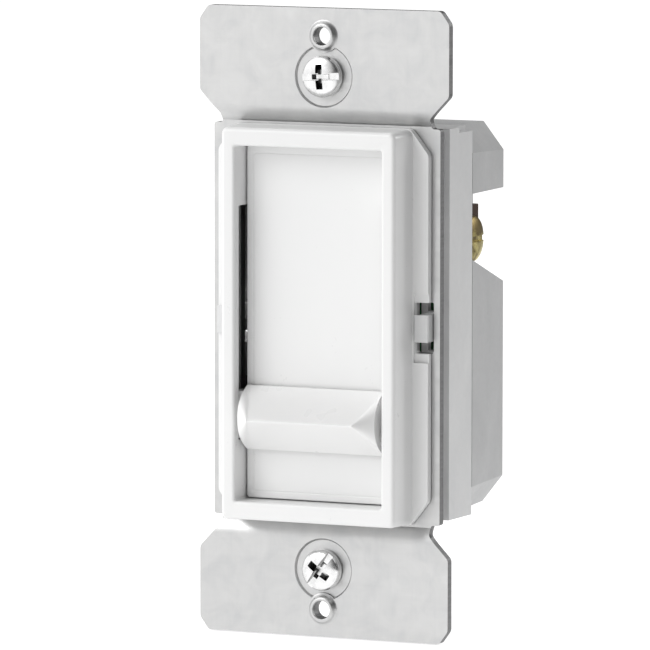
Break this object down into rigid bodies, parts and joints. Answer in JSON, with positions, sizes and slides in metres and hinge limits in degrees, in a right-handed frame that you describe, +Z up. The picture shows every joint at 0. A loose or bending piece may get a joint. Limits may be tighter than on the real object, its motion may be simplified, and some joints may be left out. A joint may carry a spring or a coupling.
{
  "type": "dimmer slide switch",
  "caption": "Wall-box slide dimmer with a metal mounting strap, rectangular front frame, full-width sliding grip, plastic housing and side screw terminals.",
  "frame": {"origin": "centre of the wall plane: the back face of the strap's two ears, midway between the two box screws", "axes": "+Z up along the strap, +Y into the wall, +X to the right as seen from the front"},
  "size_m": [0.0458, 0.0403, 0.1062],
  "materials": {
    "strap_metal": "bare satin sheet",
    "white_plastic": "semi-gloss moulded",
    "housing_plastic": "fine matt moulded",
    "screw_steel": "bright zinc plated",
    "terminal_brass": "dull brass",
    "ground_green": "green plated screw",
    "copper": "bare copper alloy",
    "black_plastic": "moulded",
    "phenolic": "laminate",
    "board": "solder mask",
    "insulating_pad": "soft pad",
    "ferrite": "sintered",
    "capacitor_yellow": "moulded case",
    "component_blue": "lacquered",
    "washer_fibre": "pressed fibre"
  },
  "bodies": {
    "dimmer_body": {"mounting_yoke": "strap_metal", "bezel": "white_plastic", "track_panel": "white_plastic", "fader_case": "screw_steel", "fader_base": "phenolic", "switch_base": "black_plastic", "switch_contact_line": "copper", "switch_contact_load": "copper", "circuit_board": "board", "triac": "black_plastic", "triac_pad": "insulating_pad", "triac_rivet": "screw_steel", "choke_core": "ferrite", "choke_winding": "copper", "filter_capacitor": "capacitor_yellow", "timing_capacitor": "capacitor_yellow", "resistor_1": "component_blue", "resistor_2": "component_blue", "diac": "component_blue", "front_body": "housing_plastic", "rear_cover": "housing_plastic", "housing_screw_top_right": "screw_steel", "housing_screw_top_left": "screw_steel", "housing_screw_bottom_right": "screw_steel", "housing_screw_bottom_left": "screw_steel", "terminal_plate_right": "terminal_brass", "terminal_clamp_right": "terminal_brass", "terminal_screw_right": "terminal_brass", "terminal_plate_left": "terminal_brass", "terminal_clamp_left": "terminal_brass", "terminal_screw_left": "terminal_brass", "ground_screw": "ground_green", "mounting_screw_top": "screw_steel", "mounting_screw_bottom": "screw_steel", "screw_washer_top": "washer_fibre", "screw_washer_bottom": "washer_fibre"},
    "slider": {"slider_knob": "white_plastic", "slider_carriage": "black_plastic", "fader_lever": "black_plastic", "fader_wiper": "copper", "switch_bridge": "copper"}
  },
  "joints": [
    {"name": "slider_slide", "type": "slide", "parent": "dimmer_body", "child": "slider", "axis": [0, 0, 1], "range_m": [0, 0.03]}
  ]
}
